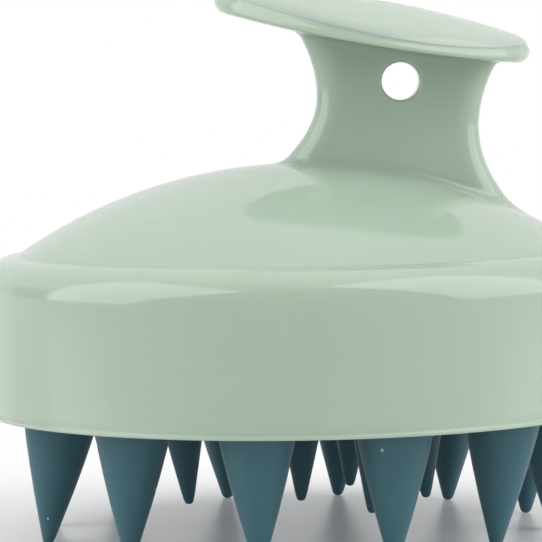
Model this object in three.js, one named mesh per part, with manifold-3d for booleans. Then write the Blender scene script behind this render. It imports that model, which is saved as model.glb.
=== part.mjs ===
// Scalp massager brush: a round, hollow moulded body with an offset, tilted grip on top and a soft
// silicone brush head clipped in from below. Millimetres, +Z up. The origin is the point below the
// dome's centre on the plane that the outer bristle tips stand on. The grip's long axis lies in the
// XZ plane: +X is the low end of the grip.
import * as THREE from "three";
import { mergeVertices } from "three/addons/utils/BufferGeometryUtils.js";
import Module from "manifold-3d";

// ---- driving dimensions ----
const BODY_RADIUS = 43.1; // the round skirt
const RIM_Z = 16.9; // lower edge of the skirt, above the tips of the outer bristles
const SKIRT_HEIGHT = 21.4; // lower edge to the top of the shoulder
const SHOULDER_RADIUS = 4.4;
const DOME_RADIUS = 68.2; // the dome is a cap of a sphere
const DOME_APEX = 33.05; // above the lower edge
const WALL = 2.2;
const RIM_ROUND = 0.6;
const SEAT_DEPTH = 6.4; // the mouth, where the brush head sits
const BEAD_WIDTH = 1.7; // inner bead that the head's sealing lip stops against
const BEAD_HEIGHT = 1.6;

const PLATE_X = 10.4; // centre of the grip plate
const PLATE_Z = RIM_Z + 52.2;
const PLATE_TILT = THREE.MathUtils.degToRad(10.6); // the +X end is the low one
const PLATE_HALF_LENGTH = 21.3;
const PLATE_HALF_WIDTH = 14.6;
const PLATE_EGG = 0.12; // how much fuller the low end is
const PLATE_TOP = 2.85; // crown of the plate above its middle plane
const PLATE_CROWN_LONG = 1.9; // fall of the top from the middle to the ends
const PLATE_CROWN_ACROSS = 4.3; // and to the sides
const PLATE_BELOW = 3.5; // underside below the middle plane
const PLATE_LIFT = 1.2; // rise of the underside at the ends
const CAP_EDGE = 0.9; // thickness of the cap at its edge
const CAP_MIDDLE = 1.8; // and in the middle
const TRAY_RIM = 0.88; // inner edge of the tray's rim, as a share of the outline
const TRAY_FLOOR = 1.5;
const PEG_RADIUS = 1.5; // of the cap's two locating pegs
const PEG_OFFSET = 8.5; // of each peg from the plate's centre, across it
const PEG_LENGTH = 1.2;
const PEG_WALL = 1; // of the tray's sockets for them

const WEB_THICKNESS = 7.6;
const WEB_ROUND = 2.6; // of its two upright edges
const WEB_SKIN = 1.9; // wall round its hollow core
const WEB_CORE_ROUND = 0.8;
const WEB_FLOOR = 1; // floor of the core above the dome
const WEB_BITE = 1; // how far the web runs into the plate
const WEB_FOOT = 25; // heights above the lower edge between which it is lofted
const WEB_HEAD = 53.5;
const WEB_LEFT = { x: 2.7, height: 42.2, above: 0.033, below: 0.059 }; // waist and curl of each edge
const WEB_RIGHT = { x: 24.6, height: 37.4, above: 0.032, below: 0.04 };
const HOLE_RADIUS = 2.55;
const HOLE_X = 14.0;
const HOLE_Z = RIM_Z + 43.9;
const HOLE_BOSS = 2; // wall round the hanging hole

const GAP = 0.3; // between pieces that touch on the real object
const PAD_RECESS = 1.5; // silicone face above the lower edge of the skirt
const PAD_THICKNESS = 2.2;
const LIP_WIDTH = 1.3;
const CARRIER_THICKNESS = 1.8;
const CARRIER_RIB_HEIGHT = 4;
const CARRIER_RIB = 1.4;
const CARRIER_RING = 24; // radius of its ring rib
const CARRIER_SPOKES = 6;

const OUTER_COUNT = 12;
const OUTER_RING = 34;
const OUTER_PHASE = THREE.MathUtils.degToRad(-9.8); // of the first bristle, from -Y towards +X
const INNER_COUNT = 6;
const INNER_RING = 16.5;
const INNER_PHASE = THREE.MathUtils.degToRad(35.2); // half-way between two outer bristles
const INNER_SHORTER = 3.7; // the inner bristles end this far above the outer tips

const ROUND_STEPS = 60;
const BRISTLE_STEPS = 14;
const PLATE_STEPS = 44;
const WEB_RINGS = 16;
const WEB_CORNER_STEPS = 4;

const MINT = 0xc4d6c4;
const MINT_LIGHT = 0xcfdccf;
const TEAL = 0x48666e;
const GREY_WHITE = 0xd9dcd8;

// ---- solids ----
const wasm = await Module();
wasm.setup();

function toSolid(geometry) {
  const bare = new THREE.BufferGeometry();
  bare.setAttribute("position", geometry.getAttribute("position"));
  if (geometry.index) {
    bare.setIndex(geometry.index);
  }
  const merged = mergeVertices(bare, 1e-4);
  return new wasm.Manifold(
    new wasm.Mesh({
      numProp: 3,
      vertProperties: new Float32Array(merged.attributes.position.array),
      triVerts: new Uint32Array(merged.index.array),
    }),
  );
}

function toGeometry(solid) {
  const mesh = solid.getMesh();
  const points = new Float32Array(mesh.numVert * 3);
  for (let i = 0; i < mesh.numVert; i++) {
    for (let k = 0; k < 3; k++) {
      points[3 * i + k] = mesh.vertProperties[mesh.numProp * i + k];
    }
  }
  const geometry = new THREE.BufferGeometry();
  geometry.setAttribute("position", new THREE.BufferAttribute(points, 3));
  geometry.setIndex(new THREE.BufferAttribute(new Uint32Array(mesh.triVerts), 1));
  geometry.computeVertexNormals();
  return geometry;
}

// A profile of (radius, z) points turned about Z. It starts and ends on the axis.
function turned(profile, steps = ROUND_STEPS) {
  return new THREE.LatheGeometry(profile, steps).rotateX(Math.PI / 2);
}

function at(r, z) {
  return new THREE.Vector2(r, z);
}

// Points of an arc about (cx, cz), with angles in radians from the radial direction.
function arc(cx, cz, radius, from, to, steps) {
  return Array.from({ length: steps + 1 }, (_, i) => {
    const angle = from + ((to - from) * i) / steps;
    return at(cx + radius * Math.cos(angle), cz + radius * Math.sin(angle));
  });
}

// A cylinder along Y through (x, z) in the XZ plane.
function crossBar(x, z, radius, length, steps = 28) {
  return toSolid(new THREE.CylinderGeometry(radius, radius, length, steps).translate(x, 0, z));
}

// ---- body of revolution ----
function domeProfile(inset, steps) {
  const radius = DOME_RADIUS - inset;
  const centreZ = RIM_Z + DOME_APEX - DOME_RADIUS;
  const footZ = RIM_Z + SKIRT_HEIGHT - inset;
  const foot = Math.asin((footZ - centreZ) / radius);
  return arc(0, centreZ, radius, foot, Math.PI / 2, steps);
}

function outerProfile() {
  const shoulderR = BODY_RADIUS - SHOULDER_RADIUS;
  const shoulderZ = RIM_Z + SKIRT_HEIGHT - SHOULDER_RADIUS;
  return [
    at(0, RIM_Z),
    ...arc(BODY_RADIUS - RIM_ROUND, RIM_Z + RIM_ROUND, RIM_ROUND, -Math.PI / 2, 0, 2),
    ...arc(shoulderR, shoulderZ, SHOULDER_RADIUS, 0, Math.PI / 2, 5),
    ...domeProfile(0, 12),
  ];
}

function hollowProfile() {
  const mouth = BODY_RADIUS - WALL;
  const beadZ = RIM_Z + SEAT_DEPTH;
  const below = RIM_Z - 5;
  return [
    at(0, below),
    at(mouth, below),
    at(mouth, beadZ),
    at(mouth - BEAD_WIDTH, beadZ),
    at(mouth - BEAD_WIDTH, beadZ + BEAD_HEIGHT),
    at(mouth, beadZ + BEAD_HEIGHT + BEAD_WIDTH),
    at(mouth, RIM_Z + SKIRT_HEIGHT - SHOULDER_RADIUS),
    at(mouth - WALL, RIM_Z + SKIRT_HEIGHT - WALL),
    ...domeProfile(WALL, 8),
  ];
}

function roundSolid(profile) {
  const points = profile.map((p) => at(Math.max(p.x, 0), p.y));
  points[points.length - 1].x = 0;
  return toSolid(turned(points));
}

// ---- grip plate: its own frame has x along the plate and z up from its middle plane ----
function plateTop(x, y) {
  const along = x / PLATE_HALF_LENGTH;
  const across = y / PLATE_HALF_WIDTH;
  return PLATE_TOP - PLATE_CROWN_LONG * along ** 2 - PLATE_CROWN_ACROSS * across ** 2;
}

function plateBottom(x) {
  return -PLATE_BELOW + PLATE_LIFT * (x / PLATE_HALF_LENGTH) ** 2;
}

function capThickness(x, y) {
  const share = Math.min(1, (x / PLATE_HALF_LENGTH) ** 2 + (y / PLATE_HALF_WIDTH) ** 2);
  return CAP_MIDDLE + (CAP_EDGE - CAP_MIDDLE) * share;
}

function plateOutline(share, turn) {
  const x = PLATE_HALF_LENGTH * share * Math.cos(turn);
  const y = PLATE_HALF_WIDTH * share * Math.sin(turn) * (1 + PLATE_EGG * Math.cos(turn));
  return [x, y];
}

// A closed skin over rings of the outline. Each ring is [share of the outline, height(x, y)],
// and the first and the last close at the middle.
function ringed(rings) {
  const points = [0, 0, rings[0][1](0, 0)];
  const faces = [];
  for (const [share, height] of rings) {
    for (let i = 0; i < PLATE_STEPS; i++) {
      const [x, y] = plateOutline(share, (2 * Math.PI * i) / PLATE_STEPS);
      points.push(x, y, height(x, y));
    }
  }
  const last = points.length / 3;
  points.push(0, 0, rings[rings.length - 1][1](0, 0));
  const corner = (ring, i) => 1 + ring * PLATE_STEPS + (i % PLATE_STEPS);
  for (let i = 0; i < PLATE_STEPS; i++) {
    faces.push(0, corner(0, i), corner(0, i + 1));
    faces.push(last, corner(rings.length - 1, i + 1), corner(rings.length - 1, i));
    for (let ring = 0; ring + 1 < rings.length; ring++) {
      faces.push(corner(ring, i), corner(ring + 1, i), corner(ring + 1, i + 1));
      faces.push(corner(ring, i), corner(ring + 1, i + 1), corner(ring, i + 1));
    }
  }
  const geometry = new THREE.BufferGeometry();
  geometry.setAttribute("position", new THREE.Float32BufferAttribute(points, 3));
  geometry.setIndex(faces);
  return geometry;
}

function ontoBody(geometry) {
  return geometry.rotateY(PLATE_TILT).translate(PLATE_X, 0, PLATE_Z);
}

function capBottom(x, y) {
  return plateTop(x, y) - capThickness(x, y);
}

// Two upright cylinders of the plate, one on each side of the web.
function pegs(radius, fromZ, toZ) {
  return [-PEG_OFFSET, PEG_OFFSET].map((y) => {
    const peg = new THREE.CylinderGeometry(radius, radius, toZ - fromZ, 16).rotateX(Math.PI / 2);
    return toSolid(ontoBody(peg.translate(0, y, (fromZ + toZ) / 2)));
  });
}

function gripCap() {
  const skin = ringed([
    [0.5, plateTop],
    [0.8, plateTop],
    [0.96, (x, y) => plateTop(x, y) - 0.05],
    [0.99, (x, y) => plateTop(x, y) - 0.3],
    [1, (x, y) => plateTop(x, y) - 0.65],
    [1, capBottom],
    [0.8, capBottom],
    [0.5, capBottom],
  ]);
  let solid = toSolid(ontoBody(skin));
  const root = capBottom(0, PEG_OFFSET);
  for (const peg of pegs(PEG_RADIUS, root - PEG_LENGTH, root + CAP_EDGE / 2)) {
    solid = solid.add(peg);
  }
  return toGeometry(solid);
}

function plateBase() {
  const seat = (x, y) => capBottom(x, y) - GAP;
  const skin = ringed([
    [0.5, seat],
    [0.8, seat],
    [1, seat],
    [1, (x) => plateBottom(x) + 0.6],
    [0.985, (x) => plateBottom(x) + 0.2],
    [0.94, plateBottom],
    [0.5, plateBottom],
  ]);
  return toSolid(ontoBody(skin));
}

function trayPocket() {
  const over = () => PLATE_TOP + 1;
  const floor = (x) => plateBottom(x) + TRAY_FLOOR;
  const pocket = ringed([
    [0.5 * TRAY_RIM, over],
    [TRAY_RIM, over],
    [TRAY_RIM, (x, y) => Math.min(floor(x), capBottom(x, y) - 0.5)],
    [0.8 * TRAY_RIM, (x) => floor(x)],
    [0.5 * TRAY_RIM, floor],
  ]);
  return toSolid(ontoBody(pocket));
}

// ---- web between the dome and the grip plate ----
// X of its two edges at a height above the lower edge of the skirt: parabolas about the waists.
function webEdge(waist, side, height) {
  const rise = height - waist.height;
  return waist.x + side * (rise > 0 ? waist.above : waist.below) * rise ** 2;
}

// Corner-rounded outline of a horizontal section between two X values, 2 * half thick along Y.
function sectionOutline(left, right, half, round) {
  const middle = (left + right) / 2;
  const reach = (right - left) / 2 - round;
  const points = [];
  for (const quarter of [0, 1, 2, 3]) {
    const cornerX = quarter === 0 || quarter === 3 ? middle + reach : middle - reach;
    const cornerY = quarter < 2 ? half - round : round - half;
    for (let i = 0; i <= WEB_CORNER_STEPS; i++) {
      const turn = (Math.PI / 2) * (quarter + i / WEB_CORNER_STEPS);
      points.push([cornerX + round * Math.cos(turn), cornerY + round * Math.sin(turn)]);
    }
  }
  return points;
}

// The web, or with an inset its hollow core, as a stack of sections from one height to another.
function webSolid(inset, round, from, to) {
  const points = [];
  const faces = [];
  const half = WEB_THICKNESS / 2 - inset;
  const count = 4 * (WEB_CORNER_STEPS + 1);
  for (let ring = 0; ring <= WEB_RINGS; ring++) {
    const height = from + ((to - from) * ring) / WEB_RINGS;
    const left = webEdge(WEB_LEFT, -1, height) + inset;
    const right = webEdge(WEB_RIGHT, 1, height) - inset;
    for (const [x, y] of sectionOutline(left, right, half, round)) {
      points.push(x, y, RIM_Z + height);
    }
  }
  for (let ring = 0; ring < WEB_RINGS; ring++) {
    for (let i = 0; i < count; i++) {
      const here = ring * count + i;
      const next = ring * count + ((i + 1) % count);
      faces.push(here, next, next + count, here, next + count, here + count);
    }
  }
  for (let i = 1; i + 1 < count; i++) {
    const top = WEB_RINGS * count;
    faces.push(0, i + 1, i, top, top + i, top + i + 1);
  }
  const geometry = new THREE.BufferGeometry();
  geometry.setAttribute("position", new THREE.Float32BufferAttribute(points, 3));
  geometry.setIndex(faces);
  return toSolid(geometry);
}

// What lies above the underside of the grip plate, by the bite that the web takes into it.
function overPlate() {
  const high = () => 40;
  const low = (x) => plateBottom(x) + WEB_BITE;
  return toSolid(ontoBody(ringed([[1, high], [2, high], [2, low], [1, low]])));
}

function bodyShell() {
  const outer = roundSolid(outerProfile());
  const hollow = roundSolid(hollowProfile());
  const web = webSolid(0, WEB_ROUND, WEB_FOOT, WEB_HEAD).subtract(overPlate());
  let solid = outer.add(web).add(plateBase()).subtract(hollow);
  const boss = crossBar(HOLE_X, HOLE_Z, HOLE_RADIUS + HOLE_BOSS, WEB_THICKNESS);
  const core = webSolid(WEB_SKIN, WEB_CORE_ROUND, DOME_APEX + WEB_FLOOR, WEB_HEAD).subtract(boss);
  solid = solid.subtract(core).subtract(trayPocket());
  const socketTop = capBottom(0, PEG_OFFSET + PEG_RADIUS + GAP + PEG_WALL) - GAP;
  const socketFloor = capBottom(0, PEG_OFFSET) - PEG_LENGTH - GAP;
  const trayFloor = plateBottom(0) + TRAY_FLOOR / 2;
  for (const socket of pegs(PEG_RADIUS + GAP + PEG_WALL, trayFloor, socketTop)) {
    solid = solid.add(socket);
  }
  for (const bore of pegs(PEG_RADIUS + GAP, socketFloor, PLATE_TOP)) {
    solid = solid.subtract(bore);
  }
  return toGeometry(solid.subtract(crossBar(HOLE_X, HOLE_Z, HOLE_RADIUS, 2 * WEB_THICKNESS)));
}

// ---- brush head ----
const padFace = RIM_Z + PAD_RECESS;
const padBack = padFace + PAD_THICKNESS;
const headRadius = BODY_RADIUS - WALL - GAP;

function bristlePad() {
  const lipTop = RIM_Z + SEAT_DEPTH - GAP;
  const profile = [
    at(0, padFace),
    at(headRadius - 0.4, padFace),
    at(headRadius, padFace + 0.4),
    at(headRadius, lipTop),
    at(headRadius - LIP_WIDTH, lipTop),
    at(headRadius - LIP_WIDTH, padBack),
    at(0, padBack),
  ];
  return turned(profile);
}

function carrierDisc() {
  const radius = headRadius - LIP_WIDTH - GAP;
  const from = padBack + GAP;
  const top = from + CARRIER_THICKNESS;
  const ribTop = top + CARRIER_RIB_HEIGHT;
  const foot = top - CARRIER_THICKNESS / 2;
  let solid = toSolid(turned([at(0, from), at(radius, from), at(radius, top), at(0, top)]));
  const ringProfile = [
    at(CARRIER_RING, foot),
    at(CARRIER_RING + CARRIER_RIB, foot),
    at(CARRIER_RING + CARRIER_RIB, ribTop),
    at(CARRIER_RING, ribTop),
    at(CARRIER_RING, foot),
  ];
  solid = solid.add(toSolid(turned(ringProfile)));
  const spokeLength = CARRIER_RING + CARRIER_RIB / 2;
  for (let i = 0; i < CARRIER_SPOKES; i++) {
    const spoke = new THREE.BoxGeometry(spokeLength, CARRIER_RIB, ribTop - foot)
      .translate(spokeLength / 2, 0, (ribTop + foot) / 2)
      .rotateZ((2 * Math.PI * i) / CARRIER_SPOKES);
    solid = solid.add(toSolid(spoke));
  }
  return toGeometry(solid);
}

// Bristle profiles: radius at heights above the tip. The sides are slightly full, the tip is blunt.
const OUTER_BRISTLE = [
  at(0.6, 0),
  at(1.05, 0.45),
  at(1.5, 1.9),
  at(2.88, 7),
  at(3.86, 10.8),
  at(4.64, 14.1),
];
const OUTER_ROOT = 5.35;
const INNER_BRISTLE = [at(0.45, 0), at(0.75, 0.3), at(1.05, 1.4), at(1.55, 4), at(2.2, 7.4)];
const INNER_ROOT = 3.3;

function bristle(profile, root, tipZ, ring, turn) {
  const rootZ = padFace - GAP;
  const cone = [at(0, tipZ), ...profile.map((p) => at(p.x, p.y + tipZ)), at(root, rootZ), at(0, rootZ)];
  return turned(cone, BRISTLE_STEPS).translate(ring * Math.sin(turn), -ring * Math.cos(turn), 0);
}

// ---- scene graph ----
const glossMint = new THREE.MeshStandardMaterial({ color: MINT, roughness: 0.22, metalness: 0 });
const glossCap = new THREE.MeshStandardMaterial({ color: MINT_LIGHT, roughness: 0.22, metalness: 0 });
const silicone = new THREE.MeshStandardMaterial({ color: TEAL, roughness: 0.55, metalness: 0 });
const innerPlastic = new THREE.MeshStandardMaterial({ color: GREY_WHITE, roughness: 0.5, metalness: 0 });

function piece(name, geometry, material) {
  const mesh = new THREE.Mesh(geometry, material);
  mesh.name = name;
  return mesh;
}

const twoDigits = (n) => String(n).padStart(2, "0");
const brush = new THREE.Group();
const body = new THREE.Group();
const head = new THREE.Group();
brush.add(body, head);
body.add(piece("body_shell", bodyShell(), glossMint));
body.add(piece("grip_cap", gripCap(), glossCap));
head.add(piece("carrier_disc", carrierDisc(), innerPlastic));
head.add(piece("bristle_pad", bristlePad(), silicone));
for (let i = 0; i < OUTER_COUNT; i++) {
  const turn = OUTER_PHASE + (2 * Math.PI * i) / OUTER_COUNT;
  const cone = bristle(OUTER_BRISTLE, OUTER_ROOT, 0, OUTER_RING, turn);
  head.add(piece("bristle_outer_" + twoDigits(i + 1), cone, silicone));
}
for (let i = 0; i < INNER_COUNT; i++) {
  const turn = INNER_PHASE + (2 * Math.PI * i) / INNER_COUNT;
  const cone = bristle(INNER_BRISTLE, INNER_ROOT, INNER_SHORTER, INNER_RING, turn);
  head.add(piece("bristle_inner_" + twoDigits(i + 1), cone, silicone));
}
head.add(piece("bristle_centre", bristle(INNER_BRISTLE, INNER_ROOT, INNER_SHORTER, 0, 0), silicone));

export default brush;
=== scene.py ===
# Scalp massager brush: glossy mint body with an offset, tilted grip and a hanging hole, over a dark
# teal silicone brush head. Shapes are worked out in millimetres and scaled to metres when a mesh
# is made.
import math

import bpy
import numpy as np
from mathutils import Euler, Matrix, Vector


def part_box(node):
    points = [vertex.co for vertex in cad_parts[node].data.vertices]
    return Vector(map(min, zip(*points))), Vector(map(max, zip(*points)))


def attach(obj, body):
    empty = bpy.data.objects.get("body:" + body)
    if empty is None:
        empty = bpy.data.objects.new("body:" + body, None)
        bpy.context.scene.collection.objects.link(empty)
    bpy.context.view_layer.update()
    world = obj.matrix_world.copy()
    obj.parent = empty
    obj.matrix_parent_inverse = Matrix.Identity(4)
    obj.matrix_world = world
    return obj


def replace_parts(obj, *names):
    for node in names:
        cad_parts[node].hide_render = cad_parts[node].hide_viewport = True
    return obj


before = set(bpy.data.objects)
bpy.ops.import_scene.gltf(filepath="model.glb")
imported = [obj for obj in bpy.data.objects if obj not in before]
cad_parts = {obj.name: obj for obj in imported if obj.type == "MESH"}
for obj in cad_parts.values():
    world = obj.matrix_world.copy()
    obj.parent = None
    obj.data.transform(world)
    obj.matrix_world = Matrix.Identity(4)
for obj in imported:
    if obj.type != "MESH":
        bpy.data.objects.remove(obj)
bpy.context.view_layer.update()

MM = 0.001
TURNS = 192  # points round the body
QUARTER = math.pi / 2


def mm(corner):
    return np.array(corner) / MM


# ---- sizes: the outer ones come from the frame, the rest are the design's own ----
SHELL_LOW, SHELL_HIGH = (mm(c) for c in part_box("body_shell"))
PAD_LOW, PAD_HIGH = (mm(c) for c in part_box("bristle_pad"))
CARRIER_LOW, CARRIER_HIGH = (mm(c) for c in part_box("carrier_disc"))

# Round body
BODY_R = float(SHELL_HIGH[0])
RIM_Z = float(SHELL_LOW[2])
SKIRT_TOP = RIM_Z + 21.15
SHOULDER_R = 4.2
CREASE_ROUND = 0.6
DOME_R = 68.2
DOME_CENTRE_Z = RIM_Z + 33.05 - DOME_R
DOME_FOOT_R = 36.0  # beyond this circle the body is a plain body of revolution
RIM_ROUND = 0.4
RIM_LIP = 0.06  # a hair-fine lip along the rim stands this far inside the skirt
RIM_LEAN = (0.28, 2.1)  # the skirt curves in by this much over this height above the rim
RIM_LEAN_END = 0.87  # share of that curve that is there before the lip cuts it off
LIP_NOTCH = [(0.12, 0.2), (0.08, 0.14)]  # inwards from the lip and up from its rounding

# Inside of the body
WALL = 2.2
MOUTH_ROUND = 0.3
BEAD_HEIGHT = 6.4  # of the retaining bead above the rim
BEAD_DEPTH = 1.7
INNER_CORNER = (2.0, 2.2, 16.9)  # in from the wall, radius, and height above the rim

# Grip plate, in its own row frame: u along it, y across, w up from its middle plane
TILT = math.radians(10.6)
PLATE_X = 10.5
PLATE_Z = RIM_Z + 52.2
PLATE_HALF = (21.65, 14.6)
PLATE_EGG = 0.12
TOP_CROWN = (2.85, 1.9, 4.3)  # height of the middle, fall to the ends, fall to the sides
BOTTOM_CURVE = (-3.5, 1.2)
CAP_THICK = (1.8, 0.9)  # middle and edge
SEAM_ROUND = 0.13  # the cap stands this far in from the plate's edge, which is rounded by as much
BAND_LEAN = 0.34  # the plate's edge stands in by this much at the seam, and by none at the bottom
SIDE_ROUND = 0.4  # of the plate's bottom edge along its sides
END_ROUND = 1.5  # and at its two ends
TRAY_SUNK = 0.02  # the tray's top lies this far below the seam
CAP_SUNK = 0.1  # the cap reaches this far into the tray, so that no gap shows
CAP_ROLL = 1.7  # width over which the cap's top turns down to the seam
CAP_ROLL_ANGLE = math.radians(66)
CAP_ROLL_LIFT = 0.05  # the roll ends this far above the seam
CAP_CROWN_END = 0.83  # share of the cap's outline where the roll takes over from the crown

# Web between dome and plate
WEB_HALF = 3.8
WEB_ROUND = 3.1
WEB_REACH = 11.5  # half its width along the plate
WEB_X = PLATE_X + 3  # its middle
WEB_LEFT = (2.7, 42.2, 0.033, 0.059)  # waist x, waist height, curl above, curl below
WEB_RIGHT = (24.6, 37.4, 0.032, 0.04)
WEB_FOOT_FILLET = 0.9
WEB_HEAD_FILLET = 0.8
HOLE_X = 14.0
HOLE_Z = RIM_Z + 43.9
HOLE_R = 2.55
HOLE_FLARE = 0.45
HOLE_TURNS = 96

# Brush head. Profiles are (radius, height above the tip).
PAD_BACK = 2.2  # of the pad's back above its face
PAD_LIP = 1.3  # width of the sealing lip
BRISTLE_TURNS = 40
OUTER_PROFILE = [(0.0, 0.0), (0.4, 0.06), (0.65, 0.25), (0.82, 0.6), (1.2, 1.9), (1.92, 4.4),
                 (2.67, 7.0), (3.22, 9.1), (3.67, 10.8), (4.12, 12.7), (4.46, 14.1), (4.82, 15.9)]
INNER_PROFILE = [(0.0, 0.0), (0.32, 0.05), (0.52, 0.2), (0.66, 0.5), (0.9, 1.4), (1.45, 4.0),
                 (1.83, 5.8), (2.15, 7.4), (2.6, 9.6), (2.95, 11.6)]
ROOT_HEIGHT = 1.0  # of the fillet between bristle and pad
ROOT_SLOPE = 0.22  # of the cone's side above its profile
ROOT_FLARE = [(0.12, 0.35), (0.32, 0.62), (0.62, 0.84), (1.0, 0.97)]  # outward and up
BEND_POWER = 1.1
# How far each tip stands off from under its root: silicone never sits quite straight.
OUTER_LEANS = [(0.0, 0.0), (-0.4, 0.1), (-1.2, 0.2), (0.2, 0.3), (-0.8, -0.3), (-0.9, 0.2),
               (-0.75, -0.2), (0.6, 0.2), (-0.2, 0.3), (-1.2, 0.1), (-2.3, 0.3), (-0.8, -0.1)]
INNER_LEANS = [(-0.45, 0.2), (0.35, -0.1), (-0.35, 0.2), (0.1, 0.1), (0.8, 0.1), (-0.1, 0.1)]
CENTRE_LEAN = (-0.35, 0.1)
CARRIER_PLATE = 1.8  # thickness under the ribs
CARRIER_EDGE = 0.3
CARRIER_RING = (24.0, 25.4)  # inner and outer radius of the round rib
SPOKES = 6

# ---- colours, low and high end of their drift ----
MINT = ((0.322, 0.408, 0.328), (0.337, 0.423, 0.343))
# The cap's mint is lighter than the body's: painted light, standing in for the brighter light the
# plate's top face catches.
MINT_CAP_PAINTED_LIGHT = ((0.368, 0.438, 0.368), (0.383, 0.453, 0.383))
TEAL = ((0.03, 0.097, 0.122), (0.037, 0.113, 0.142))
DUST = (0.35, 0.4, 0.4)
OFF_WHITE = (0.6, 0.62, 0.58)
FLOOR_WHITE = (0.76, 0.76, 0.768)
GLOSS = 0.06  # roughness of the mint plastic

# ---- stage ----
ABOVE_LEVEL = 1.0  # light from overhead
BACK_LEVEL = 0.85  # from the white wall behind
ROOM_LEVELS = (0.66, 0.2)  # from the room in front, near the floor and higher up
FRONT_FLOOR_LEVEL = 0.95  # the floor in front of the brush, in light and reflections only
FLOOR_GLOW = 0.09  # share of even light in the floor under the brush, as on a light table
FLOOR_FADE = (0.12, 0.6)  # metres from the brush over which the floor blends into the white sweep
FLOOR_HALF = 3.0  # metres
# Outlines of two big soft boxes and of a dark stand, as (azimuth, elevation) in degrees seen from
# the brush. Azimuth runs from the front towards +X.
LEFT_BOX = [(-99, -3), (-98, 44), (-89, 56), (-21, 39), (-62, -3)]
RIGHT_BOX = [(58, -3), (12, 53), (62, 66), (97, 62), (100, -3)]
DARK_STAND = [(-124, -3), (-124, 16), (-102, 16), (-102, -3)]
LEFT_BOX_LEVEL = 2.85
RIGHT_BOX_LEVEL = 2.9
STAND_LEVEL = 0.4
BOX_DISTANCE = 0.9  # metres
STAND_DISTANCE = 1.1
OVERHEAD_POWER = 1.5  # watts

CAMERA_DISTANCE = 450.0  # from the body's axis
CAMERA_ABOVE_RIM = 47.16
CAMERA_PITCH = 3.66  # degrees below level
CAMERA_PAN = 0.50  # degrees to the left, which puts the axis right of the picture's middle
CAMERA_ROLL = 1.0
CAMERA_LENS = 219.9


# ---- distance fields, negative inside ----
def round_join(a, b, r):
    """Union of two fields with a circular fillet of radius r in the corner between them."""
    corner = np.hypot(np.maximum(r - a, 0), np.maximum(r - b, 0))
    return np.maximum(r, np.minimum(a, b)) - corner


def round_cut(a, b, r):
    """Common part of two fields with the edge between them rounded by radius r."""
    corner = np.hypot(np.maximum(r + a, 0), np.maximum(r + b, 0))
    return np.minimum(-r, np.maximum(a, b)) + corner


def to_plate(x, z):
    """Coordinates along the tilted grip plate and up from its middle plane."""
    dx, dz = x - PLATE_X, z - PLATE_Z
    return dx * math.cos(TILT) - dz * math.sin(TILT), dx * math.sin(TILT) + dz * math.cos(TILT)


def from_plate(u, w):
    x = PLATE_X + u * math.cos(TILT) + w * math.sin(TILT)
    return x, PLATE_Z - u * math.sin(TILT) + w * math.cos(TILT)


def plate_top(u, y):
    middle, to_ends, to_sides = TOP_CROWN
    return middle - to_ends * (u / PLATE_HALF[0]) ** 2 - to_sides * (y / PLATE_HALF[1]) ** 2


def plate_bottom(u):
    return BOTTOM_CURVE[0] + BOTTOM_CURVE[1] * (u / PLATE_HALF[0]) ** 2


def seam_height(u, y):
    share = np.minimum(1, (u / PLATE_HALF[0]) ** 2 + (y / PLATE_HALF[1]) ** 2)
    return plate_top(u, y) - CAP_THICK[0] - (CAP_THICK[1] - CAP_THICK[0]) * share


def web_edges(z):
    """X of the web's two edges at height z, each with its slope."""
    found = []
    for (x0, h0, above, below), side in ((WEB_LEFT, -1), (WEB_RIGHT, 1)):
        rise = z - RIM_Z - h0
        curl = np.where(rise > 0, above, below)
        found += [x0 + side * curl * rise**2, 2 * side * curl * rise]
    return found


def web_field(x, y, z):
    left, left_slope, right, right_slope = web_edges(z)
    across = np.maximum(
        (left - x) / np.hypot(1, left_slope), (x - right) / np.hypot(1, right_slope)
    )
    return round_cut(across, np.abs(y) - WEB_HALF, WEB_ROUND)


def round_body_field(x, y, z):
    r = np.hypot(x, y)
    skirt = round_cut(r - BODY_R, z - SKIRT_TOP, SHOULDER_R)
    dome = np.sqrt(x**2 + y**2 + (z - DOME_CENTRE_Z) ** 2) - DOME_R
    return round_join(skirt, np.maximum(dome, r - BODY_R + SHOULDER_R / 2), CREASE_ROUND)


def body_field(x, y, z):
    """Round body, web and the underside of the grip plate, all run together."""
    u, w = to_plate(x, z)
    under = plate_bottom(u) - w
    solid = round_join(round_body_field(x, y, z), web_field(x, y, z), WEB_FOOT_FILLET)
    return round_join(solid, under, WEB_HEAD_FILLET)


def settle(points, field, steps=8, reach=0.6):
    """Moves points onto the zero surface of a field, along its gradient."""
    h = 1e-3
    for _ in range(steps):
        x, y, z = points.T
        here = field(x, y, z)
        slope = np.stack(
            [
                field(x + h, y, z) - field(x - h, y, z),
                field(x, y + h, z) - field(x, y - h, z),
                field(x, y, z + h) - field(x, y, z - h),
            ],
            1,
        ) / (2 * h)
        move = slope * (here / np.maximum((slope**2).sum(1), 1e-6))[:, None]
        length = np.maximum(np.linalg.norm(move, axis=1), 1e-9)
        points = points - move * np.minimum(1, reach / length)[:, None]
    return points


# ---- mesh making ----
def link(thing):
    bpy.context.scene.collection.objects.link(thing)
    return thing


def make_object(name, vertices, faces, body, material):
    mesh = bpy.data.meshes.new(name)
    mesh.from_pydata([tuple(v) for v in np.asarray(vertices) * MM], [], faces)
    mesh.update()
    mesh.shade_smooth()
    piece = link(bpy.data.objects.new(name, mesh))
    mesh.materials.append(material)
    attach(piece, body)
    return piece


def stack_faces(rings, around):
    """Faces of a closed skin over a stack of rings, with a point before and one after them."""
    faces = []
    last = 1 + rings * around
    for i in range(around):
        j = (i + 1) % around
        faces.append((0, 1 + i, 1 + j))
        for ring in range(rings - 1):
            a, b = 1 + ring * around, 1 + (ring + 1) * around
            faces.append((a + i, b + i, b + j, a + j))
        low = 1 + (rings - 1) * around
        faces.append((last, low + j, low + i))
    return faces


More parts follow.
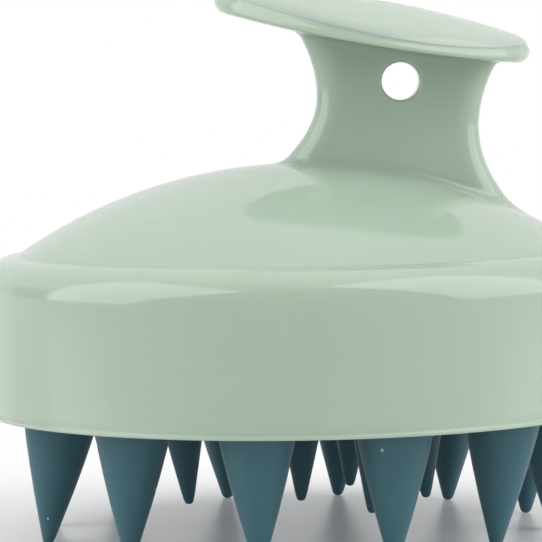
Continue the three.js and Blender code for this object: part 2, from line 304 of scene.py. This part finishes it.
def stacked(rings):
    """Vertices and faces of a closed skin over rings of equal length."""
    around = len(rings[0])
    points = [rings[0].mean(0)[None], *rings, rings[-1].mean(0)[None]]
    return np.concatenate(points), stack_faces(len(rings), around)


def eased(count, start, stop, ends):
    """Steps from start to stop, packed towards both ends as ends goes from 0 to 1."""
    t = np.linspace(0, 1, count)
    soft = t * t * (3 - 2 * t)
    return start + (stop - start) * ((1 - ends) * t + ends * soft)


def arc_points(centre_r, centre_z, radius, start, stop, count):
    a = np.linspace(start, stop, count)
    return list(zip(centre_r + radius * np.cos(a), centre_z + radius * np.sin(a)))


def angles(count):
    return np.arange(count) * 2 * math.pi / count


def circle_ring(r, z, turn, x=0.0, y=0.0):
    return np.stack([x + r * np.cos(turn), y + r * np.sin(turn), np.full(len(turn), z)], 1)


ANGLES = angles(TURNS)


# ---- body ----
def plate_ring(share, height, inset=0.0):
    """A ring of the plate's outline at a height given by u and y. inset moves it inwards."""
    u = (PLATE_HALF[0] * share - inset) * np.cos(ANGLES)
    y = (PLATE_HALF[1] * share - inset) * np.sin(ANGLES) * (1 + PLATE_EGG * np.cos(ANGLES))
    x, z = from_plate(u, height(u, y))
    return np.stack([x, y, z], 1)


def below_seam(drop):
    return lambda u, y: seam_height(u, y) - drop


def edge_round():
    """Radius of the plate's bottom edge at each angle: blunt at the two ends."""
    return SIDE_ROUND + (END_ROUND - SIDE_ROUND) * np.abs(np.cos(ANGLES)) ** 6


def web_outline():
    """Share along the web's width and the Y of each of its points, by the angle from its middle."""
    half = np.array([WEB_REACH, WEB_HALF])
    ray = np.stack([np.cos(ANGLES), np.sin(ANGLES)], 1)
    corner = ray / np.abs(ray / half).max(1, keepdims=True)
    core = np.clip(corner, WEB_ROUND - half, half - WEB_ROUND)
    outward = corner - core
    edge = core + WEB_ROUND * outward / np.linalg.norm(outward, axis=1, keepdims=True)
    return edge[:, 0] / half[0], edge[:, 1]


def dome_height(x, y):
    return DOME_CENTRE_Z + np.sqrt(DOME_R**2 - x**2 - y**2)


def web_ring(level):
    """A ring round the web, from the dome at level 0 to the grip plate at level 1."""
    along, y = web_outline()
    x = WEB_X + WEB_REACH * along
    for _ in range(12):
        foot = dome_height(x, y)
        head = from_plate(x - PLATE_X, plate_bottom(x - PLATE_X))[1]
        left, _, right, _ = web_edges(foot + (head - foot) * level)
        x = 0.5 * x + 0.5 * ((left + right) / 2 + (right - left) / 2 * along)
    return np.stack([x, y, foot + (head - foot) * level], 1)


def tray_rings():
    """From the middle of the tray's top over its edge, down the band and round its bottom edge."""
    rings = [plate_ring(s, below_seam(TRAY_SUNK)) for s in np.linspace(0.1, 0.95, 6)]
    for a in np.linspace(0, QUARTER, 5):
        drop = SEAM_ROUND * (1 - math.cos(a)) + TRAY_SUNK
        rings.append(plate_ring(1, below_seam(drop), BAND_LEAN + SEAM_ROUND * (1 - math.sin(a))))
    low_round = edge_round()
    for s in np.linspace(0, 1, 8)[1:-1]:
        def band(u, y):
            high = seam_height(u, y) - SEAM_ROUND
            return high + (plate_bottom(u) + low_round - high) * s
        rings.append(plate_ring(1, band, BAND_LEAN * (1 - s) ** 2))
    for a in np.linspace(0, QUARTER, 9):
        rise = low_round * (1 - math.sin(a))
        inset = low_round * (1 - math.cos(a))
        rings.append(plate_ring(1, lambda u, y: plate_bottom(u) + rise, inset))
    return rings


def web_and_dome_rings(outer):
    """From the plate's bottom edge across its underside, down the web and over the dome."""
    head, foot = web_ring(1.0), web_ring(0.0)
    spread = [outer + (head - outer) * t for t in 1 - (1 - np.linspace(0, 1, 18)[1:]) ** 1.5]
    sides = [web_ring(level) for level in eased(38, 1, 0, 0.75)[1:-1]]
    edge = circle_ring(DOME_FOOT_R, 0, ANGLES)
    lanes = [foot + (edge - foot) * t for t in np.linspace(0, 1, 34)[:-1] ** 1.25]
    for lane in lanes:
        lane[:, 2] = dome_height(lane[:, 0], lane[:, 1])
    free = spread + sides + lanes
    return list(settle(np.concatenate(free), body_field).reshape(len(free), TURNS, 3))


def crease_profile():
    """Foot of the dome and the fillet that runs it out onto the flat ledge, as (radius, height)."""
    rise = SKIRT_TOP + CREASE_ROUND - DOME_CENTRE_Z
    fillet_r = math.sqrt((DOME_R + CREASE_ROUND) ** 2 - rise**2)
    meeting = math.atan2(rise, fillet_r)
    foot = math.acos(DOME_FOOT_R / DOME_R)
    dome = arc_points(0, DOME_CENTRE_Z, DOME_R, foot, meeting, 16)[:-1]
    fillet = arc_points(
        fillet_r, SKIRT_TOP + CREASE_ROUND, CREASE_ROUND, meeting + math.pi, 1.5 * math.pi, 7
    )
    return dome + fillet


def skirt_profile():
    """Shoulder, skirt, the lean above the rim, and the rim with its hair-fine lip."""
    shoulder_z = SKIRT_TOP - SHOULDER_R
    shoulder = arc_points(BODY_R - SHOULDER_R, shoulder_z, SHOULDER_R, QUARTER, 0, 15)
    lean, lean_top = RIM_LEAN
    wall = [(BODY_R, z) for z in np.linspace(shoulder_z, RIM_Z + lean_top, 12)[1:-1]]
    turn_in = [(BODY_R - lean * t**2, RIM_Z + lean_top + (RIM_ROUND - lean_top) * t)
               for t in np.linspace(0, RIM_LEAN_END, 7)]
    lip = BODY_R - RIM_LIP
    notch = [(lip - inwards, RIM_Z + RIM_ROUND + up) for inwards, up in LIP_NOTCH]
    rim = arc_points(lip - RIM_ROUND, RIM_Z + RIM_ROUND, RIM_ROUND, 0.3, -QUARTER, 8)
    return shoulder + wall + turn_in + notch + rim


def hollow_profile():
    """Inside of the body from the rim up: mouth, inner bead, skirt and dome."""
    mouth = BODY_R - WALL
    bead_z, bead_r = RIM_Z + BEAD_HEIGHT, mouth - BEAD_DEPTH
    lip = arc_points(mouth + MOUTH_ROUND, RIM_Z + MOUTH_ROUND, MOUTH_ROUND, -QUARTER, -math.pi, 4)
    wall = [(mouth, RIM_Z + 2), (mouth, RIM_Z + 4.5), (mouth, bead_z - 0.3), (mouth - 0.3, bead_z)]
    bead = [(bead_r + 0.3, bead_z), (bead_r, bead_z + 0.3), (bead_r, bead_z + 1.3),
            (bead_r + 0.3, bead_z + 1.8)]
    skirt = [(mouth - 0.2, bead_z + 3.3), (mouth, bead_z + 3.6), (mouth, RIM_Z + 13),
             (mouth, RIM_Z + 16.6)]
    inwards, corner_r, corner_height = INNER_CORNER
    corner = arc_points(mouth - inwards, RIM_Z + corner_height, corner_r, 0, QUARTER - 0.3, 5)
    inner = DOME_R - WALL
    start = math.asin((SKIRT_TOP - WALL - DOME_CENTRE_Z) / inner)
    dome = arc_points(0, DOME_CENTRE_Z, inner, start, QUARTER - 0.02, 22)
    return lip + wall + bead + skirt + corner[:-1] + dome


def body_rings():
    """Rings of the whole skin, from the middle of the tray's top, down outside and up inside."""
    tray = tray_rings()
    turned = crease_profile() + skirt_profile() + hollow_profile()
    return tray + web_and_dome_rings(tray[-1]) + [circle_ring(r, z, ANGLES) for r, z in turned]


def hole_cutter():
    """A bar through the web with flared ends, so that it leaves rounded edges round the hole."""
    flare = [(HOLE_R + HOLE_FLARE * (1 - math.cos(a)), WEB_HALF - HOLE_FLARE * (1 - math.sin(a)))
             for a in np.linspace(0, QUARTER, 7)]
    half = flare + [(HOLE_R + HOLE_FLARE + 0.001, WEB_HALF + 3)]
    profile = [(r, -d) for r, d in reversed(half)] + half
    turn = angles(HOLE_TURNS)
    rings = [
        np.stack([HOLE_X + r * np.cos(turn), np.full(HOLE_TURNS, d), HOLE_Z + r * np.sin(turn)], 1)
        for r, d in profile
    ]
    vertices, faces = stacked(rings)
    mesh = bpy.data.meshes.new("hole_cutter")
    mesh.from_pydata([tuple(v) for v in vertices * MM], [], faces)
    return link(bpy.data.objects.new("hole_cutter", mesh))


def cut_hole(piece):
    cutter = hole_cutter()
    boolean = piece.modifiers.new("hole", "BOOLEAN")
    boolean.operation = "DIFFERENCE"
    boolean.solver = "EXACT"
    boolean.object = cutter
    bpy.context.view_layer.update()
    evaluated = piece.evaluated_get(bpy.context.evaluated_depsgraph_get())
    cut = bpy.data.meshes.new_from_object(evaluated)
    piece.modifiers.clear()
    piece.data = cut
    bpy.data.objects.remove(cutter)
    cut.shade_smooth()


def make_body(material):
    vertices, faces = stacked(body_rings())
    piece = make_object("body_skin", vertices, faces, "handle_body", material)
    cut_hole(piece)
    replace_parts(piece, "body_shell")


def make_cap(material):
    """Crowned cover of the grip plate, down to the seam half-way up its edge."""
    rings = [plate_ring(s, plate_top) for s in np.linspace(0.04, CAP_CROWN_END, 26)]
    edge = BAND_LEAN + SEAM_ROUND
    for a in np.linspace(0, CAP_ROLL_ANGLE, 10):
        def roll(u, y):
            top = plate_top(u, y)
            share = (1 - math.cos(a)) / (1 - math.cos(CAP_ROLL_ANGLE))
            return top + (seam_height(u, y) + CAP_ROLL_LIFT - top) * share
        inset = edge + CAP_ROLL * (1 - math.sin(a) / math.sin(CAP_ROLL_ANGLE))
        rings.append(plate_ring(1, roll, inset))
    rings += [plate_ring(1, below_seam(drop), edge) for drop in (0, CAP_SUNK)]
    rings += [plate_ring(s, below_seam(CAP_SUNK)) for s in np.linspace(0.95, 0.1, 6)]
    vertices, faces = stacked(rings)
    piece = make_object("grip_cap_skin", vertices, faces, "handle_body", material)
    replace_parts(piece, "grip_cap")


# ---- brush head ----
def turned_piece(name, profile, material):
    vertices, faces = stacked([circle_ring(r, z, ANGLES) for r, z in profile])
    return make_object(name, vertices, faces, "brush_head", material)


def make_pad(material):
    """Silicone disc with its sealing lip, from the face round the lip to the back."""
    radius, low, high = float(PAD_HIGH[0]), float(PAD_LOW[2]), float(PAD_HIGH[2])
    back, inside = low + PAD_BACK, radius - PAD_LIP
    face = [(r, low) for r in np.linspace(1, radius - 1.4, 30)]
    groove = [(radius - 1.1, low + 0.12), (radius - 0.9, low + 0.12), (radius - 0.75, low)]
    edge = arc_points(radius - 0.4, low + 0.4, 0.4, -QUARTER, 0, 5)
    ribs = [(radius - 0.06 * (i % 2), low + 0.7 + 0.45 * i) for i in range(7)]
    top = arc_points(radius - 0.3, high - 0.3, 0.3, 0, QUARTER, 4)
    inner = [(inside + 0.2, high), (inside, high - 0.2), (inside, back + 0.2), (inside - 0.2, back)]
    rear = [(r, back) for r in np.linspace(inside - 1, 1, 12)]
    profile = (face + groove + edge + ribs + top + inner + rear)[::-1]
    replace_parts(turned_piece("silicone_pad", profile, material), "bristle_pad")


def bristle_profile(points, height):
    """The cone's profile with a straight run to the root and a fillet into the pad."""
    r, z = points[-1]
    root_z = height - ROOT_HEIGHT
    root_r = r + (root_z - z) * ROOT_SLOPE
    return points + [(root_r, root_z)] + [(root_r + dr, root_z + dz) for dr, dz in ROOT_FLARE]


def make_bristle(node, points, lean, material):
    """One bristle: a blunt, slightly full cone that leans and bends a little towards its tip."""
    low, high = (mm(c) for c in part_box(node))
    centre = (low + high) / 2
    root_z = float(PAD_LOW[2])
    height = root_z - low[2]
    turn = angles(BRISTLE_TURNS)
    rings = []
    for r, rise in bristle_profile(points, height)[1:]:
        bend = (1 - rise / height) ** BEND_POWER
        x, y = centre[0] + lean[0] * bend, centre[1] + lean[1] * bend
        rings.append(circle_ring(r, low[2] + rise, turn, x, y))
    rings.append(circle_ring(0.9 * r, root_z + 0.4, turn, centre[0], centre[1]))  # inside the pad
    rings.reverse()
    vertices, faces = stacked(rings)
    vertices[-1, 2] = low[2]
    piece = make_object(node + "_skin", vertices, faces, "brush_head", material)
    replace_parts(piece, node)


def make_bristles(material):
    for i, lean in enumerate(OUTER_LEANS):
        make_bristle(f"bristle_outer_{i + 1:02d}", OUTER_PROFILE, lean, material)
    for i, lean in enumerate(INNER_LEANS):
        make_bristle(f"bristle_inner_{i + 1:02d}", INNER_PROFILE, lean, material)
    make_bristle("bristle_centre", INNER_PROFILE, CENTRE_LEAN, material)


def make_carrier(material):
    """Off-white ribbed disc behind the silicone, seen when the body is lifted off the head."""
    radius, low, high = float(CARRIER_HIGH[0]), float(CARRIER_LOW[2]), float(CARRIER_HIGH[2])
    top = low + CARRIER_PLATE
    rib_in, rib_out = CARRIER_RING
    edge_r = radius - CARRIER_EDGE
    disc = [(r, low) for r in (1, 12, 24, 36, radius - 0.4)]
    disc += arc_points(edge_r, low + CARRIER_EDGE, CARRIER_EDGE, -QUARTER, 0, 4)
    disc += arc_points(edge_r, top - CARRIER_EDGE, CARRIER_EDGE, 0, QUARTER, 4)
    disc += [(32, top), (rib_out + 0.5, top)]
    rib = [(rib_out + 0.15, top + 0.12), (rib_out, top + 0.5), (rib_out - 0.1, high - 0.25),
           (rib_out - 0.35, high), (rib_in + 0.35, high), (rib_in + 0.1, high - 0.25),
           (rib_in, top + 0.5), (rib_in - 0.15, top + 0.12)]
    inner = [(rib_in - 0.5, top), (12, top), (1, top)]
    profile = (disc + rib + inner)[::-1]
    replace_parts(turned_piece("carrier_plate", profile, material), "carrier_disc")
    for i in range(SPOKES):
        make_spoke(i, rib_in, top, high, material)


def make_spoke(index, length, low, high, material):
    """A straight stiffening rib of the carrier, thinner towards its top, as a mould draws it."""
    section = [(-0.8, low - 0.2), (-0.62, high - 0.3), (-0.4, high),
               (0.4, high), (0.62, high - 0.3), (0.8, low - 0.2)]
    a = 2 * math.pi * index / SPOKES
    steps = np.linspace(0.9, length + 0.4, 6)
    vertices = [(s * math.cos(a) - y * math.sin(a), s * math.sin(a) + y * math.cos(a), z)
                for s in steps for y, z in section]
    n = len(section)
    faces = []
    for k in range(len(steps) - 1):
        for j in range(n):
            m = (j + 1) % n
            faces.append((k * n + j, (k + 1) * n + j, (k + 1) * n + m, k * n + m))
    faces.append(tuple(range(n)))
    faces.append(tuple(reversed(range((len(steps) - 1) * n, len(steps) * n))))
    name = f"carrier_rib_{index + 1}"
    piece = make_object(name, vertices, faces, "brush_head", material)
    piece.data.shade_flat()


# ---- shader nodes ----
def new_material(name):
    material = bpy.data.materials.new(name)
    material.use_nodes = True
    nodes = material.node_tree.nodes
    return material, nodes, material.node_tree.links, nodes["Principled BSDF"]


def node_math(nodes, links, operation, first, second):
    node = nodes.new("ShaderNodeMath")
    node.operation = operation
    for socket, value in zip(node.inputs, (first, second)):
        if isinstance(value, (int, float)):
            socket.default_value = value
        else:
            links.new(value, socket)
    return node.outputs[0]


def to_range(nodes, links, value, to_min, to_max, span=(0.0, 1.0), interpolation="LINEAR"):
    node = nodes.new("ShaderNodeMapRange")
    node.interpolation_type = interpolation
    node.inputs["From Min"].default_value = span[0]
    node.inputs["From Max"].default_value = span[1]
    node.inputs["To Min"].default_value = to_min
    node.inputs["To Max"].default_value = to_max
    links.new(value, node.inputs["Value"])
    return node.outputs["Result"]


def smooth_range(nodes, links, value, from_min, from_max, to_min=0.0, to_max=1.0):
    return to_range(nodes, links, value, to_min, to_max, (from_min, from_max), "SMOOTHSTEP")


def mix_shaders(nodes, links, share, first, second):
    mix = nodes.new("ShaderNodeMixShader")
    links.new(share, mix.inputs[0])
    links.new(first.outputs[0], mix.inputs[1])
    links.new(second.outputs[0], mix.inputs[2])
    return mix


def noise(nodes, links, coordinates, scale, detail, rough=0.5):
    node = nodes.new("ShaderNodeTexNoise")
    node.inputs["Scale"].default_value = scale
    node.inputs["Detail"].default_value = detail
    node.inputs["Roughness"].default_value = rough
    links.new(coordinates, node.inputs["Vector"])
    return node.outputs["Fac"]


def colour_drift(nodes, links, value, low, high):
    """A colour that runs from low to high over the middle of a value's range."""
    node = nodes.new("ShaderNodeValToRGB")
    for element, place, colour in zip(node.color_ramp.elements, (0.3, 0.7), (low, high)):
        element.position = place
        element.color = (*colour, 1)
    links.new(value, node.inputs["Fac"])
    return node.outputs["Color"]


def add_bump(nodes, links, shader, height, strength, distance):
    bump = nodes.new("ShaderNodeBump")
    bump.inputs["Strength"].default_value = strength
    bump.inputs["Distance"].default_value = distance
    links.new(height, bump.inputs["Height"])
    links.new(bump.outputs["Normal"], shader.inputs["Normal"])


# ---- materials ----
def gloss_plastic(name, low, high):
    """Glossy moulded plastic: faint colour drift, slight orange peel, hair-fine handling marks."""
    material, nodes, links, shader = new_material(name)
    place = nodes.new("ShaderNodeTexCoord").outputs["Object"]
    drift = noise(nodes, links, place, 38, 3)
    links.new(colour_drift(nodes, links, drift, low, high), shader.inputs["Base Color"])
    smear = noise(nodes, links, place, 160, 4, 0.6)
    spread = to_range(nodes, links, smear, GLOSS * 0.75, GLOSS * 1.35)
    links.new(spread, shader.inputs["Roughness"])
    add_bump(nodes, links, shader, noise(nodes, links, place, 420, 2), 0.035, 0.0002)
    shader.inputs["IOR"].default_value = 1.5
    shader.inputs["Subsurface Weight"].default_value = 0.5
    shader.inputs["Subsurface Radius"].default_value = (1.0, 1.0, 0.6)
    shader.inputs["Subsurface Scale"].default_value = 0.004
    shader.inputs["Coat Weight"].default_value = 0.12
    shader.inputs["Coat Roughness"].default_value = 0.02
    return material


def silicone_rubber(name, low, high, dust):
    """Satin silicone: fine grain, a slightly worn bloom and a few specks of dust."""
    material, nodes, links, shader = new_material(name)
    place = nodes.new("ShaderNodeTexCoord").outputs["Object"]
    base = colour_drift(nodes, links, noise(nodes, links, place, 90, 4), low, high)
    specks = nodes.new("ShaderNodeTexVoronoi")
    specks.inputs["Scale"].default_value = 260
    specks.inputs["Randomness"].default_value = 1
    links.new(place, specks.inputs["Vector"])
    small = node_math(nodes, links, "LESS_THAN", specks.outputs["Distance"], 0.075)
    rare = node_math(nodes, links, "GREATER_THAN", noise(nodes, links, place, 130, 1), 0.6)
    mix = nodes.new("ShaderNodeMix")
    mix.data_type = "RGBA"
    links.new(node_math(nodes, links, "MULTIPLY", small, rare), mix.inputs["Factor"])
    links.new(base, mix.inputs["A"])
    mix.inputs["B"].default_value = (*dust, 1)
    links.new(mix.outputs["Result"], shader.inputs["Base Color"])
    grain = noise(nodes, links, place, 1500, 3, 0.6)
    links.new(to_range(nodes, links, grain, 0.42, 0.58), shader.inputs["Roughness"])
    add_bump(nodes, links, shader, grain, 0.12, 0.0001)
    shader.inputs["IOR"].default_value = 1.41
    shader.inputs["Sheen Weight"].default_value = 0.15
    shader.inputs["Sheen Roughness"].default_value = 0.4
    return material


def plain_plastic(name, colour):
    """Matt moulded plastic with a fine grain."""
    material, nodes, links, shader = new_material(name)
    place = nodes.new("ShaderNodeTexCoord").outputs["Object"]
    darker = tuple(c * 0.93 for c in colour)
    drift = noise(nodes, links, place, 70, 3)
    links.new(colour_drift(nodes, links, drift, darker, colour), shader.inputs["Base Color"])
    add_bump(nodes, links, shader, noise(nodes, links, place, 2200, 2), 0.1, 0.0001)
    shader.inputs["Roughness"].default_value = 0.45
    return material


# ---- stage: floor, world, lights, camera ----
def make_floor():
    """White floor that runs out into an evenly lit white sweep, so that no edge of it is seen."""
    mesh = bpy.data.meshes.new("floor")
    size = FLOOR_HALF
    corners = [(-size, -size, 0), (size, -size, 0), (size, size, 0), (-size, size, 0)]
    mesh.from_pydata(corners, [], [(0, 1, 2, 3)])
    floor = link(bpy.data.objects.new("floor", mesh))
    material, nodes, links, shader = new_material("floor_white")
    shader.inputs["Base Color"].default_value = (*FLOOR_WHITE, 1)
    shader.inputs["Roughness"].default_value = 0.3
    shader.inputs["IOR"].default_value = 1.8
    place = nodes.new("ShaderNodeTexCoord").outputs["Object"]
    length = nodes.new("ShaderNodeVectorMath")
    length.operation = "LENGTH"
    links.new(place, length.inputs[0])
    away = length.outputs["Value"]
    fade = smooth_range(nodes, links, away, *FLOOR_FADE, FLOOR_GLOW)
    white = mix_shaders(nodes, links, fade, shader, nodes.new("ShaderNodeEmission"))
    split = nodes.new("ShaderNodeSeparateXYZ")
    links.new(place, split.inputs["Vector"])
    ahead = node_math(nodes, links, "DIVIDE", split.outputs["Y"], away)
    front = smooth_range(nodes, links, ahead, -0.1, -0.6)
    begin = smooth_range(nodes, links, split.outputs["Y"], -0.05, -0.1)
    camera = nodes.new("ShaderNodeLightPath").outputs["Is Camera Ray"]
    unseen = node_math(nodes, links, "SUBTRACT", 1.0, camera)
    region = node_math(nodes, links, "MULTIPLY", front, begin)
    share = node_math(nodes, links, "MULTIPLY", region, unseen)
    room = nodes.new("ShaderNodeEmission")
    room.inputs["Strength"].default_value = FRONT_FLOOR_LEVEL
    surface = mix_shaders(nodes, links, share, white, room).outputs[0]
    links.new(surface, nodes["Material Output"].inputs["Surface"])
    mesh.materials.append(material)


def make_world():
    """White overhead and behind, and a dim room in front. The view itself sees plain white."""
    world = bpy.data.worlds.new("studio")
    world.use_nodes = True
    nodes, links = world.node_tree.nodes, world.node_tree.links
    split = nodes.new("ShaderNodeSeparateXYZ")
    links.new(nodes.new("ShaderNodeTexCoord").outputs["Generated"], split.inputs["Vector"])
    y, z = split.outputs["Y"], split.outputs["Z"]
    front = smooth_range(nodes, links, y, 0.15, -0.6)
    low = smooth_range(nodes, links, z, 1.0, 0.6)
    dim = node_math(nodes, links, "MULTIPLY", front, low)
    keep = node_math(nodes, links, "SUBTRACT", 1.0, dim)
    behind = smooth_range(nodes, links, y, 0.25, 0.7, ABOVE_LEVEL, BACK_LEVEL)
    lit = node_math(nodes, links, "MULTIPLY", behind, keep)
    room = smooth_range(nodes, links, z, 0.25, 0.6, *ROOM_LEVELS)
    dimmed = node_math(nodes, links, "MULTIPLY", dim, room)
    seen = nodes.new("ShaderNodeMix")
    links.new(nodes.new("ShaderNodeLightPath").outputs["Is Camera Ray"], seen.inputs["Factor"])
    links.new(node_math(nodes, links, "ADD", lit, dimmed), seen.inputs["A"])
    seen.inputs["B"].default_value = 1.0
    back = nodes["Background"]
    back.inputs["Color"].default_value = (1, 1, 1, 1)
    links.new(seen.outputs["Result"], back.inputs["Strength"])
    bpy.context.scene.world = world


def toward(azimuth, elevation):
    a, e = math.radians(azimuth), math.radians(elevation)
    return Vector((math.cos(e) * math.sin(a), -math.cos(e) * math.cos(a), math.sin(e)))


def card_corners(outline, distance):
    """Corners of a flat card that has the given outline as seen from the brush."""
    middle = sum((toward(*corner) for corner in outline), Vector()).normalized()
    centre = Vector((0, 0, 0.03))
    return [centre + toward(*c) * (distance / toward(*c).dot(middle)) for c in outline]


def glow_card(name, outline, distance, radiance):
    """A flat card of even brightness that shows in the brush's gloss but not in the view."""
    mesh = bpy.data.meshes.new(name)
    mesh.from_pydata(card_corners(outline, distance), [], [tuple(range(len(outline)))])
    card = link(bpy.data.objects.new(name, mesh))
    material = bpy.data.materials.new(name + "_glow")
    material.use_nodes = True
    nodes, links = material.node_tree.nodes, material.node_tree.links
    nodes.clear()
    glow = nodes.new("ShaderNodeEmission")
    glow.inputs["Strength"].default_value = radiance
    links.new(glow.outputs[0], nodes.new("ShaderNodeOutputMaterial").inputs["Surface"])
    mesh.materials.append(material)
    card.visible_camera = False
    card.visible_shadow = False


def make_lights():
    glow_card("left_box", LEFT_BOX, BOX_DISTANCE, LEFT_BOX_LEVEL)
    glow_card("right_box", RIGHT_BOX, BOX_DISTANCE, RIGHT_BOX_LEVEL)
    glow_card("dark_stand", DARK_STAND, STAND_DISTANCE, STAND_LEVEL)
    data = bpy.data.lights.new("overhead", "AREA")
    data.size = 1.2
    data.energy = OVERHEAD_POWER
    light = link(bpy.data.objects.new("overhead", data))
    light.location = (0, 0.15, 1.4)
    light.visible_camera = False
    light.visible_glossy = False


def make_camera():
    data = bpy.data.cameras.new("camera")
    data.lens = CAMERA_LENS
    data.sensor_width = 36
    data.clip_start, data.clip_end = 0.01, 20
    camera = link(bpy.data.objects.new("camera", data))
    camera.location = (0, -CAMERA_DISTANCE * MM, (RIM_Z + CAMERA_ABOVE_RIM) * MM)
    tilt = Euler((math.radians(90 - CAMERA_PITCH), 0, math.radians(CAMERA_PAN)), "XYZ")
    roll = Euler((0, 0, math.radians(CAMERA_ROLL)), "XYZ")
    camera.rotation_euler = (tilt.to_matrix() @ roll.to_matrix().inverted()).to_euler()
    bpy.context.scene.camera = camera


def main():
    make_camera()
    make_world()
    make_lights()
    make_floor()
    make_body(gloss_plastic("mint_plastic", *MINT))
    # The cap gets the lighter mint, painted light for its brighter top face.
    make_cap(gloss_plastic("mint_cap_painted_light_plastic", *MINT_CAP_PAINTED_LIGHT))
    teal = silicone_rubber("teal_silicone_rubber", *TEAL, DUST)
    make_pad(teal)
    make_bristles(teal)
    make_carrier(plain_plastic("carrier_off_white", OFF_WHITE))
    bpy.context.scene.view_settings.view_transform = "Standard"


main()
